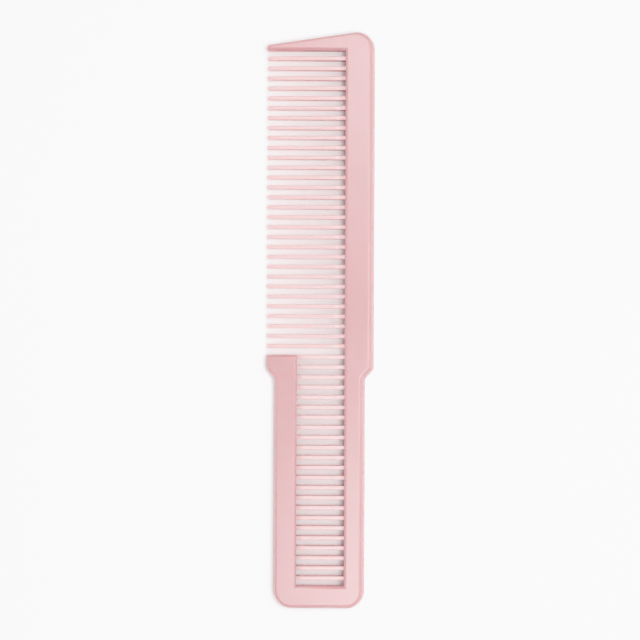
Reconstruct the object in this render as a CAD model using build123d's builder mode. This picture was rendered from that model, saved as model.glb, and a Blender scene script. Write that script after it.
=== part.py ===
from build123d import *

import math
import os

# Barber's clipper comb, a one-piece moulding modelled as its named regions.
#
# The comb lies flat: +Z is up, its length runs along Y with the nose at +Y and the
# heel of the handle at -Y, the teeth point towards -X and the spine is the +X side.
# The origin is the middle of the bounding box's underside. Millimetres.

# ---------------------------------------------------------------- driving dimensions

# Overall
comb_length = 205.3  # heel end to the top of the nose
comb_width = 38.3  # tooth tips to the back of the spine
body_thickness = 4.8  # spine, nose, heel and front rail

# Spine and nose
spine_width = 10.5  # tooth roots to the back, along the tooth field
nose_slope = 8.5  # degrees that the nose's end rises towards the spine
nose_tip_height = 2.0  # height of the guard's blunt tip, along Y
nose_corner_radius = 6.4  # far corner of the back

# Handle
handle_length = 90.25  # heel end to the top of the front rail
heel_length = 8.05  # heel end to the handle's window
heel_corner_radius = 6.4
front_rail_width = 7.9
front_shoulder_step = 2.9  # how far the front steps in below the shoulder
back_shoulder_step = 3.1  # how far the back steps in below the shoulder
shoulder_drop = 5.0  # top of the front rail to the start of the shoulders
shoulder_height = 3.4  # length of each shoulder's slope, along Y

# Teeth and bars
tooth_pitch = 3.53
tooth_width = 1.42
tooth_tip_thickness = 2.0
tooth_tip_round = 0.8
bar_pitch_wanted = 3.57  # the bars are spaced evenly, as near to this as the window allows
bar_width = 1.42
rib_edge_round = 0.35  # long edges of every tooth and bar

# Edges and relief
field_recess = 0.6  # the teeth and bars lie this far below each face of the frame
bevel_width = 1.3  # the slope from the frame's face down to the teeth and bars
edge_land = 0.4  # straight wall left between the two rounded outer edges
shoulder_round_extra = 0.3  # how much larger the shoulders' corners are than the edges

# ---------------------------------------------------------------- derived places

tip_x = -comb_width / 2
back_x = comb_width / 2
heel_end_y = -comb_length / 2
nose_top_y = comb_length / 2

root_x = back_x - spine_width
handle_front_x = tip_x + front_shoulder_step
handle_back_x = back_x - back_shoulder_step
window_front_x = handle_front_x + front_rail_width

heel_edge_y = heel_end_y + heel_length
rail_top_y = heel_end_y + handle_length
shoulder_top_y = rail_top_y - shoulder_drop
shoulder_bottom_y = shoulder_top_y - shoulder_height

edge_round = (body_thickness - edge_land) / 2
shoulder_round = edge_round + shoulder_round_extra
middle_z = body_thickness / 2
rib_thickness = body_thickness - 2 * field_recess
rib_top_z = body_thickness - field_recess

# The nose's end is a straight line tangent to the back's rounded corner.
slope_rise = math.tan(math.radians(nose_slope))
corner_centre_x = back_x - nose_corner_radius
corner_centre_y = nose_top_y - nose_corner_radius
corner_reach_y = corner_centre_y + nose_corner_radius / math.cos(math.radians(nose_slope))
nose_back_y = corner_reach_y + (back_x - corner_centre_x) * slope_rise
nose_tip_y = corner_reach_y - (corner_centre_x - tip_x) * slope_rise
nose_edge_y = nose_tip_y - nose_tip_height

# The teeth are stepped off from the nose; what is left over widens the last gap.
tooth_gap = tooth_pitch - tooth_width
tooth_count = int((nose_edge_y - rail_top_y - tooth_gap) // tooth_pitch)

# The last bar closes the window, level with the top of the front rail.
bar_count = round((rail_top_y - heel_edge_y) / bar_pitch_wanted)
bar_pitch = (rail_top_y - heel_edge_y) / bar_count

# ---------------------------------------------------------------- frame


def pick(edges, x, y):
    """The upright edge whose ends stand at x, y."""
    return edges.sort_by_distance((x, y, middle_z))[0]


with BuildPart() as frame:
    # Plan outline, as if the tooth field were solid
    with BuildSketch():
        with BuildLine():
            Polyline(
                (handle_front_x, heel_end_y),
                (handle_front_x, shoulder_bottom_y),
                (tip_x, shoulder_top_y),
                (tip_x, nose_tip_y),
                (back_x, nose_back_y),
                (back_x, shoulder_top_y),
                (handle_back_x, shoulder_bottom_y),
                (handle_back_x, heel_end_y),
                close=True,
            )
        make_face()
    extrude(amount=body_thickness)

    # Corners in plan
    upright = frame.edges().filter_by(Axis.Z)
    heel_corners = [
        pick(upright, handle_front_x, heel_end_y),
        pick(upright, handle_back_x, heel_end_y),
    ]
    nose_corner = pick(upright, back_x, nose_back_y)
    shoulder_corners = [
        pick(upright, handle_front_x, shoulder_bottom_y),
        pick(upright, tip_x, shoulder_top_y),
        pick(upright, back_x, shoulder_top_y),
        pick(upright, handle_back_x, shoulder_bottom_y),
    ]
    fillet(heel_corners, radius=heel_corner_radius)
    fillet(nose_corner, radius=nose_corner_radius)
    fillet(shoulder_corners, radius=shoulder_round)

    # Rounded outer edges, above and below
    fillet(frame.faces().filter_by(Axis.Z).edges(), radius=edge_round)

    # Openings for the tooth field, which runs out past the tips, and the handle's window
    open_front_x = tip_x - bevel_width
    field_width = root_x - open_front_x
    field_length = nose_edge_y - rail_top_y
    window_width = root_x - window_front_x
    window_length = rail_top_y - heel_edge_y
    openings = [
        ((root_x - field_width / 2, (nose_edge_y + rail_top_y) / 2), field_width, field_length),
        ((root_x - window_width / 2, (rail_top_y + heel_edge_y) / 2), window_width, window_length),
    ]
    for centre, width, length in openings:
        with BuildSketch():
            with Locations(centre):
                Rectangle(width, length)
        extrude(amount=body_thickness, mode=Mode.SUBTRACT)

    # Sloped relief round the openings, on both faces
    for rib_face_z, frame_face_z in ((rib_top_z, body_thickness), (field_recess, 0)):
        for centre, width, length in openings:
            with BuildSketch(Plane.XY.offset(rib_face_z)):
                with Locations(centre):
                    Rectangle(width, length)
            with BuildSketch(Plane.XY.offset(frame_face_z)):
                with Locations(centre):
                    Rectangle(width + 2 * bevel_width, length + 2 * bevel_width)
            loft(mode=Mode.SUBTRACT)

# ---------------------------------------------------------------- frame regions

at_roots = Plane.YZ.offset(root_x)
at_nose_edge = Plane.ZX.offset(nose_edge_y)
at_heel_edge = Plane.ZX.offset(heel_edge_y)

with BuildPart() as spine:
    add(frame.part)
    split(bisect_by=at_roots, keep=Keep.TOP)
    split(bisect_by=at_nose_edge, keep=Keep.BOTTOM)
    split(bisect_by=at_heel_edge, keep=Keep.TOP)

with BuildPart() as nose:
    add(frame.part)
    split(bisect_by=at_nose_edge, keep=Keep.TOP)

with BuildPart() as heel:
    add(frame.part)
    split(bisect_by=at_heel_edge, keep=Keep.BOTTOM)

with BuildPart() as front_rail:
    add(frame.part)
    split(bisect_by=at_roots, keep=Keep.BOTTOM)
    split(bisect_by=at_nose_edge, keep=Keep.BOTTOM)
    split(bisect_by=at_heel_edge, keep=Keep.TOP)

# ---------------------------------------------------------------- teeth and bars


def make_tooth(centre_y):
    """A free tooth: tapers in thickness from its root to a rounded tip."""
    with BuildPart() as tooth:
        with BuildSketch(Plane.XZ.offset(-centre_y)):
            with BuildLine():
                Polyline(
                    (root_x, middle_z - rib_thickness / 2),
                    (root_x, middle_z + rib_thickness / 2),
                    (tip_x, middle_z + tooth_tip_thickness / 2),
                    (tip_x, middle_z - tooth_tip_thickness / 2),
                    close=True,
                )
            side = make_face()
            fillet(side.vertices().sort_by(Axis.X)[:2], radius=tooth_tip_round)
        extrude(amount=tooth_width / 2, both=True)
        flanks = tooth.faces().filter_by(Axis.Y)
        fillet(flanks.edges().sort_by(Axis.X)[:-2], radius=rib_edge_round)
    return tooth


def make_bar(centre_y):
    """A cross bar of the handle's window."""
    with BuildPart() as bar:
        with BuildSketch(Plane.YZ.offset(window_front_x)):
            with Locations((centre_y, middle_z)):
                RectangleRounded(bar_width, rib_thickness, rib_edge_round)
        extrude(amount=root_x - window_front_x)
    return bar


pieces = {"spine": spine, "nose": nose, "heel": heel, "front_rail": front_rail}

for number in range(1, tooth_count + 1):
    tooth_y = nose_edge_y - number * tooth_pitch + tooth_width / 2
    pieces[f"tooth_{number:02d}"] = make_tooth(tooth_y)

for number in range(1, bar_count + 1):
    bar_y = heel_edge_y + number * bar_pitch - bar_width / 2
    pieces[f"bar_{number:02d}"] = make_bar(bar_y)

# ---------------------------------------------------------------- write the pieces

os.makedirs("parts", exist_ok=True)
for label, piece in pieces.items():
    piece.part.label = label
    export_step(piece.part, f"parts/{label}.step")
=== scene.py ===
import math

import bmesh
import bpy
from mathutils import Matrix, Vector


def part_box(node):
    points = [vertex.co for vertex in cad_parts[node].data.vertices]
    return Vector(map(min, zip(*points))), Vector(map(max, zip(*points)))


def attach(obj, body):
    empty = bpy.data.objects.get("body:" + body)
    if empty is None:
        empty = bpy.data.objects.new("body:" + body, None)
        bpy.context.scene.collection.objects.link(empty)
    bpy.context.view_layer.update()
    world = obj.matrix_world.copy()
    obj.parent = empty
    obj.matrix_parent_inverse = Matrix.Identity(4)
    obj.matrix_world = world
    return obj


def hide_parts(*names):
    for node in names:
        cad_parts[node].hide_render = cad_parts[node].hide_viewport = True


# A barber's clipper comb in pale pink plastic, lying flat on a pale floor. Metres.
# The comb's length runs along Y with the nose at +Y, its teeth point to -X, and +Z is up.

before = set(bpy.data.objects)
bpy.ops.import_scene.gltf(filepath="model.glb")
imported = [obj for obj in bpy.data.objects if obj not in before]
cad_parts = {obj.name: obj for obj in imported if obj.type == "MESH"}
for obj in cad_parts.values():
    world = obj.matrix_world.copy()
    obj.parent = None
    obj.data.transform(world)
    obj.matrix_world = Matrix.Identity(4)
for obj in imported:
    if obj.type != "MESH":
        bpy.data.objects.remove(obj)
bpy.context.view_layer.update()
MM = 0.001

# ---------------------------------------------------------------- sizes read from the frame

spine_low, spine_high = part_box("spine")
nose_low, nose_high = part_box("nose")
heel_low, heel_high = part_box("heel")
rail_low, rail_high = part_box("front_rail")

TEETH = sorted(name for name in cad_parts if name.startswith("tooth_"))
BARS = sorted(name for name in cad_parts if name.startswith("bar_"))

thickness = spine_high.z - spine_low.z
middle_z = (spine_high.z + spine_low.z) / 2
back_x = spine_high.x
root_x = spine_low.x
tip_x = nose_low.x
nose_edge_y = nose_low.y
nose_top_y = nose_high.y
heel_end_y = heel_low.y
heel_edge_y = heel_high.y
handle_front_x = heel_low.x
handle_back_x = heel_high.x
window_front_x = rail_high.x
rail_top_y = rail_high.y

# ---------------------------------------------------------------- sizes of the moulded shape

nose_slope = math.radians(8.5)  # rise of the nose's end towards the spine
corner_radius = 6.4 * MM  # heel corners and the far corner of the back
shoulder_drop = 5.0 * MM  # top of the front rail to the start of the shoulders
shoulder_height = 3.4 * MM
shoulder_crest_radius = 1.6 * MM
shoulder_foot_radius = 2.2 * MM
tip_corner_radius = 0.5 * MM
window_corner_radius = 0.15 * MM
SMALLEST_INNER_RADIUS = 0.25 * MM

back_round = 2.4 * MM  # how far each rounded edge reaches in from the outline
front_round = 1.2 * MM
heel_round = 1.6 * MM
nose_round = 1.1 * MM
bevel_width = 0.75 * MM  # the slope from the frame's face down to the teeth and bars
bevel_ease = 0.2 * MM  # how far the rounding at the bevel's upper edge runs onto the face
bevel_reach = bevel_width + bevel_ease
brow_ease = 0.18 * MM  # the rounding where a slot wall turns into the bevel
recess_shade_start = 0.3 * MM  # painted shade: the slot walls begin to darken to a deeper pink this far below the face and reach their darkest painted shade this much further down
recess_shade_depth = 0.9 * MM  # and have their deepest pink this much further down
wall_height = 1.8 * MM  # half height of the slot walls, up to the foot of the bevel

TOOTH_RUN_IN = 0.9 * MM  # how far the teeth and bars run into the frame
TOOTH_TIP_LENGTH = 1.3 * MM
TOOTH_TIP_THICKNESS = 2.1 * MM
TOOTH_END_WIDTH_SHARE = 0.94  # of the width at the root
RIB_EDGE_RADIUS = 0.2 * MM
RIB_CROWN = 0.05 * MM
SIDE_SHARPNESS = 50.0  # how fast a rib's section turns from one side to the next
FLOOR_GAP = 0.05 * MM


# ---------------------------------------------------------------- node trees as expressions


class Wire:
    """An output socket that can be used in arithmetic, which adds Math nodes to its tree."""

    def __init__(self, tree, socket):
        self.tree = tree
        self.socket = socket

    def math(self, operation, *values, **settings):
        return self.tree.add("ShaderNodeMath", dict(operation=operation, **settings), *values)

    def __add__(self, other):
        return self.math("ADD", self, other)

    def __sub__(self, other):
        return self.math("SUBTRACT", self, other)

    def __mul__(self, other):
        return self.math("MULTIPLY", self, other)

    def __truediv__(self, other):
        return self.math("DIVIDE", self, other)

    def __pow__(self, other):
        return self.math("POWER", self, other)

    def __gt__(self, other):
        return self.math("GREATER_THAN", self, other)

    def __rsub__(self, other):
        return self.math("SUBTRACT", other, self)

    __radd__ = __add__
    __rmul__ = __mul__

    def between(self, low, high):
        return self.math("MINIMUM", self.math("MAXIMUM", self, low), high)

    def clamp(self):
        return self.math("ADD", self, 0.0, use_clamp=True)

    def __getitem__(self, name):
        """Another output of the same node."""
        return Wire(self.tree, self.socket.node.outputs[name])


class Tree:
    """A node tree that is wired up one node at a time."""

    def __init__(self, nodes_and_links):
        self.nodes = nodes_and_links.nodes
        self.links = nodes_and_links.links

    def add(self, kind, settings=None, *values, **named):
        """Adds a node: its settings first, then its inputs, by order or by name."""
        node = self.nodes.new(kind)
        for name, value in (settings or {}).items():
            if name == "stops":
                self.set_stops(node.color_ramp, value)
            else:
                setattr(node, name, value)
        for key, value in [*enumerate(values), *named.items()]:
            place = key if isinstance(key, int) else key.replace("_", " ")
            socket = self.find(node.inputs, place)
            if isinstance(value, Wire):
                self.links.new(value.socket, socket)
            else:
                socket.default_value = value
        return Wire(self, next((s for s in node.outputs if s.enabled), None))

    def blend(self, share, colour, other):
        """Goes from colour to other as share goes from 0 to 1."""
        ends = [(*end, 1.0) if isinstance(end, tuple) else end for end in (colour, other)]
        settings = {"data_type": "RGBA", "blend_type": "MIX"}
        return self.add("ShaderNodeMix", settings, Factor=share, A=ends[0], B=ends[1])

    @staticmethod
    def find(sockets, place):
        """A socket by its index, or the enabled one of that name."""
        if isinstance(place, int):
            return sockets[place]
        return next(s for s in sockets if s.enabled and s.name == place)

    @staticmethod
    def set_stops(ramp, stops):
        while len(ramp.elements) < len(stops):
            ramp.elements.new(1.0)
        for element, (position, colour) in zip(ramp.elements, stops):
            element.position = position
            element.color = (*colour, 1.0)


# ---------------------------------------------------------------- satin pink plastic


def comb_plastic():
    """Satin injection-moulded plastic: fine mould grain, pigment that drifts, worn edges, painted
    shade deep in the slots and painted light through the thin teeth and bars.
    """
    material = bpy.data.materials.new("pink_comb_plastic")
    material.use_nodes = True
    material.node_tree.nodes.clear()
    tree = Tree(material.node_tree)
    place = tree.add("ShaderNodeTexCoord")["Object"]

    drift = tree.add("ShaderNodeTexNoise", None, Vector=place, Scale=38.0, Detail=3.0)
    flow_place = tree.add("ShaderNodeMapping", None, Vector=place, Scale=(520.0, 60.0, 520.0))
    flow = tree.add("ShaderNodeTexNoise", None, Vector=flow_place, Scale=1.0, Detail=4.0)
    grain = tree.add("ShaderNodeTexNoise", None, Vector=place, Scale=5200.0, Detail=2.0)
    wear = tree.add("ShaderNodeAttribute", {"attribute_name": "wear"})["Fac"]
    # painted shade: a darker, deeper pink down the slot walls and the ribs' sides
    recess = tree.add("ShaderNodeAttribute", {"attribute_name": "recess"})["Fac"]
    # painted light showing through the thin plastic: the teeth and bars are paler than the frame,
    # most at the tooth tips
    thinness = tree.add("ShaderNodeAttribute", {"attribute_name": "thinness"})["Fac"]
    rub = tree.add("ShaderNodeTexNoise", None, Vector=place, Scale=900.0, Detail=3.0)

    worn = (wear * (rub * 1.2 - 0.1)).clamp()
    shade = drift * 0.8 + flow * 0.2
    pink = tree.add(
        "ShaderNodeValToRGB",
        {"stops": [(0.35, (0.600, 0.333, 0.345)), (0.65, (0.630, 0.354, 0.366))]},
        Fac=shade,
    )
    # painted light: paler where light would show through the thin teeth and bars
    pale = tree.blend(thinness, pink, (0.83, 0.535, 0.54))
    # painted shade in the slots: the walls and the ribs' sides go a darker, deeper pink further down
    recess_shaded = tree.blend(recess, pale, (0.74, 0.31, 0.335))
    colour = tree.blend(worn * 0.8, recess_shaded, (0.88, 0.66, 0.66))
    bump = tree.add(
        "ShaderNodeBump",
        None,
        Strength=0.25,
        Distance=0.00004,
        Height=grain * 0.7 + flow * 0.3,
    )
    surface = tree.add(
        "ShaderNodeBsdfPrincipled",
        None,
        Base_Color=colour,
        Roughness=0.25 + (flow - 0.5) * 0.06 - worn * 0.05,
        IOR=1.49,
        Subsurface_Weight=0.7,
        Subsurface_Radius=(1.0, 0.15, 0.15),
        Subsurface_Scale=2.0 * MM,
        Normal=bump,
    )
    tree.add("ShaderNodeOutputMaterial", None, Surface=surface)
    return material


PLASTIC = comb_plastic()


# ---------------------------------------------------------------- the moulded frame


def crossing(a, along_a, b, along_b):
    """Where the line through a and the line through b cross, in plan."""
    across = along_a.cross(along_b)
    return a + along_a * ((b - a).cross(along_b) / across)


class Edge:
    """A straight side of the frame in plan, with the material on its left."""

    def __init__(self, start, end, reach, inner):
        self.start = Vector(start)
        self.along = (Vector(end) - self.start).normalized()
        self.reach = reach  # how far in its rounding or bevel goes
        self.inner = inner  # True beside the teeth and bars, where it is a wall and a bevel
        self.inset = self.start + Vector((-self.along.y, self.along.x)) * reach


def round_corner(corner, before, after, radius, steps):
    """Points round a corner, on an arc that is tangent to the sides before and after it."""
    turn = math.atan2(before.cross(after), before.dot(after))
    if steps == 0:
        return [corner.copy()]
    side = 1 if turn > 0 else -1
    start = corner - before * radius * abs(math.tan(turn / 2))
    centre = start + Vector((-before.y, before.x)) * radius * side
    points = []
    for step in range(steps + 1):
        angle = turn * step / steps
        spoke = start - centre
        spoke.rotate(Matrix.Rotation(angle, 2))
        points.append(centre + spoke)
    return points


def frame_loop():
    """The frame's outline in plan: (outer point, inner point, how much it is an inner edge)."""
    shoulder_top_y = rail_top_y - shoulder_drop
    shoulder_foot_y = shoulder_top_y - shoulder_height
    corner_y = nose_top_y - corner_radius + corner_radius / math.cos(nose_slope)
    nose_back_y = corner_y + corner_radius * math.tan(nose_slope)
    nose_tip_y = corner_y - (back_x - corner_radius - tip_x) * math.tan(nose_slope)

    # Each corner: its place, its radius, the steps round it, then the side that follows it
    corners = [
        ((handle_front_x, heel_end_y), corner_radius, 16, heel_round, False),
        ((handle_back_x, heel_end_y), corner_radius, 16, back_round, False),
        ((handle_back_x, shoulder_foot_y), shoulder_foot_radius, 8, back_round, False),
        ((back_x, shoulder_top_y), shoulder_crest_radius, 8, back_round, False),
        ((back_x, nose_back_y), corner_radius, 16, nose_round, False),
        ((tip_x, nose_tip_y), tip_corner_radius, 8, nose_round, False),
        ((tip_x, nose_edge_y), tip_corner_radius, 8, bevel_reach, True),
        ((root_x, nose_edge_y), 0.0, 0, bevel_reach, True),
        ((root_x, heel_edge_y), 0.0, 0, bevel_reach, True),
        ((window_front_x, heel_edge_y), 0.0, 0, bevel_reach, True),
        ((window_front_x, rail_top_y), window_corner_radius, 4, bevel_reach, True),
        ((tip_x, rail_top_y), tip_corner_radius, 8, front_round, False),
        ((tip_x, shoulder_top_y), shoulder_crest_radius, 8, front_round, False),
        ((handle_front_x, shoulder_foot_y), shoulder_foot_radius, 8, front_round, False),
    ]
    sides = []
    for here, following in zip(corners, corners[1:] + corners[:1]):
        sides.append(Edge(here[0], following[0], here[3], here[4]))

    # The nose's end is narrower than its two insets together, so they meet inside the nose
    slope, end, edge = sides[4:7]
    meeting_point = crossing(slope.inset, slope.along, edge.inset, edge.along)

    loop = []
    for number, (place, radius, steps, _, _) in enumerate(corners):
        before, after = sides[number - 1], sides[number]
        inner_corner = crossing(before.inset, before.along, after.inset, after.along)
        convex = before.along.cross(after.along) > 0
        reach = (before.reach + after.reach) / 2
        inner_radius = max(radius - reach, SMALLEST_INNER_RADIUS) if convex else radius + reach
        outer = round_corner(Vector(place), before.along, after.along, radius, steps)
        inner = round_corner(inner_corner, before.along, after.along, inner_radius, steps)
        if end in (before, after):
            inner = [meeting_point] * len(outer)
        for step, (far, near) in enumerate(zip(outer, inner)):
            share = step / steps if steps else 1.0
            loop.append((far, near, before.inner * (1 - share) + after.inner * share))
    return loop


def outer_profile(steps):
    """A rounded edge: (share of its reach, height), from the parting line to the face."""
    half = thickness / 2
    points = []
    for step in range(steps):
        angle = math.pi / 2 * step / (steps - 1)
        points.append((1 - math.cos(angle), half * math.sin(angle)))
    return points


def eased(corner, before, after, ease, steps):
    """Points that round off a profile's corner, starting and ending ease away from it."""
    start = corner + (before - corner).normalized() * ease
    end = corner + (after - corner).normalized() * ease
    points = []
    for step in range(steps):
        share = step / (steps - 1)
        bend = corner * 2 * share * (1 - share)
        points.append(start * (1 - share) ** 2 + bend + end * share**2)
    return points


def inner_profile(steps):
    """A slot's wall and the bevel above it, as shares of the bevel's width and heights."""
    foot = Vector((0.0, 0.0))
    brow = Vector((0.0, wall_height))
    crest = Vector((bevel_width, thickness / 2))
    face = Vector((bevel_reach, thickness / 2))
    half = (steps - 1) // 2
    points = [foot]
    points += eased(brow, foot, crest, brow_ease, half)
    points += eased(crest, brow, face, bevel_ease, steps - 1 - half)
    return [(point.x / bevel_reach, point.y) for point in points]


def build_frame(name):
    """The whole frame as one closed mesh: rings of the outline, and a flat face above and below."""
    steps = 12
    loop = frame_loop()
    outer_points, inner_points = outer_profile(steps), inner_profile(steps)
    rings = []
    for rounded, walled in zip(outer_points, inner_points):
        ring = []
        for far, near, inner in loop:
            share = rounded[0] * (1 - inner) + walled[0] * inner
            height = rounded[1] * (1 - inner) + walled[1] * inner
            ring.append((*(far.lerp(near, share)), height, inner))
        rings.append(ring)

    shape = bmesh.new()
    wear = shape.verts.layers.float.new("wear")
    recess = shape.verts.layers.float.new("recess")
    levels = []
    signs = [(-1, ring) for ring in reversed(rings[1:])] + [(1, ring) for ring in rings]
    for sign, ring in signs:
        level = []
        for x, y, height, inner in ring:
            vert = shape.verts.new((x, y, middle_z + sign * height))
            lean = 1 - abs(2 * height / thickness * 2 - 1)
            vert[wear] = max(0.0, 1 - inner) * max(0.0, lean)
            # painted shade: the slot walls and the foot of the bevel darken further below the face
            sunk = (thickness / 2 - height - recess_shade_start) / recess_shade_depth
            vert[recess] = inner * min(1.0, max(0.0, sunk))
            level.append(vert)
        levels.append(level)
    for lower, upper in zip(levels, levels[1:]):
        for this in range(len(lower)):
            following = (this + 1) % len(lower)
            shape.faces.new((lower[this], lower[following], upper[following], upper[this]))
    shape.faces.new(levels[-1])
    shape.faces.new(reversed(levels[0]))
    bmesh.ops.remove_doubles(shape, verts=shape.verts, dist=1e-7)
    bmesh.ops.recalc_face_normals(shape, faces=shape.faces)
    mesh = bpy.data.meshes.new(name)
    shape.to_mesh(mesh)
    shape.free()
    piece = bpy.data.objects.new(name, mesh)
    bpy.context.scene.collection.objects.link(piece)
    piece.data.materials.append(PLASTIC)
    mesh.shade_smooth()
    for side in mesh.polygons:
        if len(side.vertices) > 4:
            side.use_smooth = False  # the two flat faces, which the rounded edges run into
    return piece


comb_frame = build_frame("comb_frame")
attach(comb_frame, "root")
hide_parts("spine", "nose", "heel", "front_rail")


# ---------------------------------------------------------------- teeth and bars


def ribs_tree():
    """A row of equal ribs along Y, each a rounded bar from its root to its far end.

    The first ring of a rib is gathered to a point, which closes its root. The last rings
    shrink round a quarter turn, which makes the tip.
    """
    tree_data = bpy.data.node_groups.new("comb_ribs", "GeometryNodeTree")
    panel = tree_data.interface
    sizes = {
        "Count": "NodeSocketInt",
        "Pitch": "NodeSocketFloat",
        "First Y": "NodeSocketFloat",
        "Middle Z": "NodeSocketFloat",
        "Root X": "NodeSocketFloat",
        "End X": "NodeSocketFloat",
        "Root Width": "NodeSocketFloat",
        "End Width": "NodeSocketFloat",
        "Root Thickness": "NodeSocketFloat",
        "End Thickness": "NodeSocketFloat",
        "Tip Length": "NodeSocketFloat",
        "Edge Radius": "NodeSocketFloat",
        "Crown": "NodeSocketFloat",
        "Root Thin Glow": "NodeSocketFloat",
        "End Thin Glow": "NodeSocketFloat",
    }
    for label, kind in sizes.items():
        panel.new_socket(label, in_out="INPUT", socket_type=kind)
    panel.new_socket("Plastic", in_out="INPUT", socket_type="NodeSocketMaterial")
    panel.new_socket("Geometry", in_out="OUTPUT", socket_type="NodeSocketGeometry")
    tree = Tree(tree_data)
    given = tree.add("NodeGroupInput")

    body_rings, tip_rings, around = 6, 8, 36
    rings = 2 + body_rings + tip_rings
    grid = tree.add(
        "GeometryNodeMeshGrid",
        None,
        Size_X=1.0,
        Size_Y=1.0,
        Vertices_X=rings,
        Vertices_Y=around + 1,
    )
    spot = tree.add("ShaderNodeSeparateXYZ", None, Vector=tree.add("GeometryNodeInputPosition"))
    ring = (spot["X"] + 0.5) * (rings - 1.0)
    angle = (spot["Y"] + 0.5) * (2 * math.pi)

    body = ((ring - 1.0) / body_rings).clamp()
    turn = ((ring - 1.0 - body_rings) / tip_rings).clamp() * (math.pi / 2)
    is_open = ring > 0.5
    tip_start = given["End X"] + given["Tip Length"]
    x = (
        given["Root X"] * (1 - body)
        + tip_start * body
        - given["Tip Length"] * turn.math("SINE", turn)
    )
    shrink = is_open * turn.math("COSINE", turn)
    half_width = (given["Root Width"] * (1 - body) + given["End Width"] * body) * 0.5
    half_depth = (given["Root Thickness"] * (1 - body) + given["End Thickness"] * body) * 0.5

    # A rectangle with rounded corners: each quarter turn goes round one corner, and there is
    # a point in the middle of each side. The top and the underside are slightly crowned.
    cosine, sine = angle.math("COSINE", angle), angle.math("SINE", angle)
    rounding = given["Edge Radius"]
    side = (cosine * SIDE_SHARPNESS).between(-1.0, 1.0)
    face = (sine * SIDE_SHARPNESS).between(-1.0, 1.0)
    across = side * (half_width - rounding) + cosine * rounding
    upward = face * (half_depth - rounding) + sine * rounding
    crown = 1 - (across / half_width) ** 2.0
    upward = upward + face * crown * given["Crown"]
    placed = tree.add(
        "ShaderNodeCombineXYZ",
        None,
        X=x,
        Y=across * shrink,
        Z=upward * shrink,
    )
    high = sine.math("ABSOLUTE", sine)
    depth = half_depth - upward.math("ABSOLUTE", upward)
    near_root = (1 - body) ** 3.0
    marks = {
        "wear": (turn / (math.pi / 2) * 0.8 + high * (1 - high) * 1.6).clamp(),
        # painted shade: the ribs' sides darken further below their tops, most near the roots
        "recess": ((depth - recess_shade_start) / recess_shade_depth * (0.5 + near_root)).clamp(),
        # painted light showing through the thin plastic: paler from the rib's root to its end
        "thinness": given["Root Thin Glow"] * (1 - body) + given["End Thin Glow"] * body,
    }
    # The marks are worked out on the flat grid, so they are stored before it is shaped
    rib = grid
    for mark, value in marks.items():
        rib = tree.add(
            "GeometryNodeStoreNamedAttribute",
            {"data_type": "FLOAT", "domain": "POINT"},
            Geometry=rib,
            Name=mark,
            Value=value,
        )
    rib = tree.add("GeometryNodeSetPosition", None, Geometry=rib, Position=placed)
    rib = tree.add("GeometryNodeMergeByDistance", None, Geometry=rib, Distance=1e-6)

    start = tree.add(
        "ShaderNodeCombineXYZ", None, X=0.0, Y=given["First Y"], Z=given["Middle Z"]
    )
    stride = tree.add("ShaderNodeCombineXYZ", None, X=0.0, Y=given["Pitch"], Z=0.0)
    row = tree.add(
        "GeometryNodeMeshLine",
        {"mode": "OFFSET"},
        Count=given["Count"],
        Start_Location=start,
        Offset=stride,
    )
    ribs = tree.add("GeometryNodeInstanceOnPoints", None, Points=row, Instance=rib)
    ribs = tree.add("GeometryNodeRealizeInstances", None, Geometry=ribs)
    ribs = tree.add("GeometryNodeSetShadeSmooth", None, Geometry=ribs)
    ribs = tree.add("GeometryNodeSetMaterial", None, Geometry=ribs, Material=given["Plastic"])
    tree.add("NodeGroupOutput", None, Geometry=ribs)
    return tree_data


def build_ribs(name, tree_data, sizes):
    """Runs the rib tree with these sizes and keeps the result as a plain mesh."""
    host = bpy.data.objects.new(name + "_host", bpy.data.meshes.new(name + "_host"))
    bpy.context.scene.collection.objects.link(host)
    modifier = host.modifiers.new("ribs", "NODES")
    modifier.node_group = tree_data
    for item in tree_data.interface.items_tree:
        if item.in_out == "INPUT" and item.name in sizes:
            modifier[item.identifier] = sizes[item.name]
    evaluated = host.evaluated_get(bpy.context.evaluated_depsgraph_get())
    mesh = bpy.data.meshes.new_from_object(evaluated)
    mesh.name = name
    host.modifiers.remove(modifier)
    bpy.data.objects.remove(host)
    shape = bmesh.new()
    shape.from_mesh(mesh)
    bmesh.ops.recalc_face_normals(shape, faces=shape.faces)
    shape.to_mesh(mesh)
    shape.free()
    piece = bpy.data.objects.new(name, mesh)
    bpy.context.scene.collection.objects.link(piece)
    return piece


def middle_y(node):
    low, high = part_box(node)
    return (low.y + high.y) / 2


ribs = ribs_tree()
tooth_low, tooth_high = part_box(TEETH[0])
bar_low, bar_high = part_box(BARS[0])
rib_thickness = tooth_high.z - tooth_low.z

teeth = build_ribs(
    "teeth",
    ribs,
    {
        "Count": len(TEETH),
        "Pitch": middle_y(TEETH[1]) - middle_y(TEETH[0]),
        "First Y": middle_y(TEETH[0]),
        "Middle Z": middle_z,
        "Root X": root_x + TOOTH_RUN_IN,
        "End X": tip_x,
        "Root Width": tooth_high.y - tooth_low.y,
        "End Width": (tooth_high.y - tooth_low.y) * TOOTH_END_WIDTH_SHARE,
        "Root Thickness": rib_thickness,
        "End Thickness": TOOTH_TIP_THICKNESS,
        "Tip Length": TOOTH_TIP_LENGTH,
        "Edge Radius": RIB_EDGE_RADIUS,
        "Crown": RIB_CROWN,
        # painted light through the thin teeth: paler towards the tips
        "Root Thin Glow": 0.85,
        "End Thin Glow": 1.0,
        "Plastic": PLASTIC,
    },
)
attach(teeth, "root")
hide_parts(*TEETH)

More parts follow.
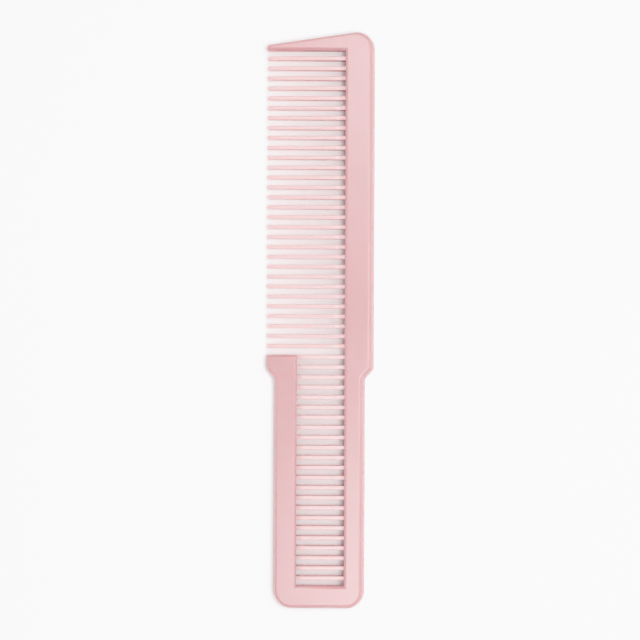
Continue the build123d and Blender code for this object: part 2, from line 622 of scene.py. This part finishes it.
bars = build_ribs(
    "handle_bars",
    ribs,
    {
        "Count": len(BARS),
        "Pitch": middle_y(BARS[1]) - middle_y(BARS[0]),
        "First Y": middle_y(BARS[0]),
        "Middle Z": middle_z,
        "Root X": root_x + TOOTH_RUN_IN,
        "End X": window_front_x - TOOTH_RUN_IN,
        "Root Width": bar_high.y - bar_low.y,
        "End Width": bar_high.y - bar_low.y,
        "Root Thickness": rib_thickness,
        "End Thickness": rib_thickness,
        "Tip Length": 0.0,
        "Edge Radius": RIB_EDGE_RADIUS,
        "Crown": RIB_CROWN,
        "Root Thin Glow": 0.9,
        "End Thin Glow": 0.9,
        "Plastic": PLASTIC,
    },
)
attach(bars, "root")
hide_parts(*BARS)


# ---------------------------------------------------------------- floor, light and camera


def pale_floor():
    material = bpy.data.materials.new("pale_floor")
    material.use_nodes = True
    material.node_tree.nodes.clear()
    tree = Tree(material.node_tree)
    place = tree.add("ShaderNodeTexCoord")["Object"]
    mottle = tree.add("ShaderNodeTexNoise", None, Vector=place, Scale=3.0, Detail=2.0)
    white = tree.add(
        "ShaderNodeValToRGB",
        {"stops": [(0.3, (0.93, 0.93, 0.93)), (0.7, (0.95, 0.95, 0.95))]},
        Fac=mottle,
    )
    surface = tree.add("ShaderNodeBsdfDiffuse", None, Color=white)
    tree.add("ShaderNodeOutputMaterial", None, Surface=surface)

    half = 3.0
    mesh = bpy.data.meshes.new("floor")
    level = spine_low.z - FLOOR_GAP
    corners = [(-half, -half, level), (half, -half, level), (half, half, level), (-half, half, level)]
    mesh.from_pydata(corners, [], [(0, 1, 2, 3)])
    mesh.materials.append(material)
    floor = bpy.data.objects.new("floor", mesh)
    bpy.context.scene.collection.objects.link(floor)


def soft_box(name, place, size, radiance):
    """A rectangle of even light: level when it is above the comb, and facing it from the side."""
    light = bpy.data.lights.new(name, "AREA")
    light.shape = "RECTANGLE"
    light.size, light.size_y = size
    light.energy = radiance * math.pi * size[0] * size[1]
    holder = bpy.data.objects.new(name, light)
    holder.location = place
    if abs(place[0]) > place[2]:
        holder.rotation_euler = Vector(place).to_track_quat("Z", "Y").to_euler()
    bpy.context.scene.collection.objects.link(holder)


def studio():
    """Soft boxes above the back and above each end, and a low one along each long side."""
    world = bpy.data.worlds.new("studio")
    world.use_nodes = True
    world.node_tree.nodes["Background"].inputs["Color"].default_value = (1.0, 1.0, 1.0, 1.0)
    world.node_tree.nodes["Background"].inputs["Strength"].default_value = 0.37
    bpy.context.scene.world = world
    soft_box("back_box", (0.36, 0.0, 1.05), (0.48, 1.0), 6.4)
    soft_box("heel_box", (0.045, -0.32, 1.05), (0.15, 0.36), 13.5)
    soft_box("nose_box", (0.045, 0.32, 1.05), (0.15, 0.36), 10.8)
    soft_box("side_box", (1.1, 0.0, 0.45), (0.7, 1.2), 1.2)
    soft_box("front_box", (-1.1, 0.0, 0.3), (0.5, 1.2), 2.4)
    view = bpy.context.scene.view_settings
    view.view_transform = "Standard"
    view.use_curve_mapping = True
    curves = view.curve_mapping
    brightest = 2.0
    curves.white_level = (brightest,) * 3
    curve = curves.curves[3]
    shoulder = [(0.3, 0.3), (0.5, 0.475), (0.82, 0.725), (1.0, 0.83), (1.24, 0.935), (1.5, 0.965)]
    curve.points[-1].location = (1.0, 0.98)
    for light, shown in shoulder:
        curve.points.new(light / brightest, shown)
    curves.update()


def camera():
    """Straight above the comb, a shade off its middle, far enough to take in its whole length."""
    distance = 0.55
    seen_height = 228.2 * MM  # of the comb's middle plane, from edge to edge of the view
    data = bpy.data.cameras.new("camera")
    data.sensor_width = 36.0
    data.lens = data.sensor_width * distance / seen_height
    data.clip_start = 0.01
    holder = bpy.data.objects.new("camera", data)
    holder.location = (-0.12 * MM, 0.07 * MM, middle_z + distance)
    holder.rotation_euler = (0.0, 0.0, math.radians(0.24))
    bpy.context.scene.collection.objects.link(holder)
    bpy.context.scene.camera = holder


pale_floor()
studio()
camera()
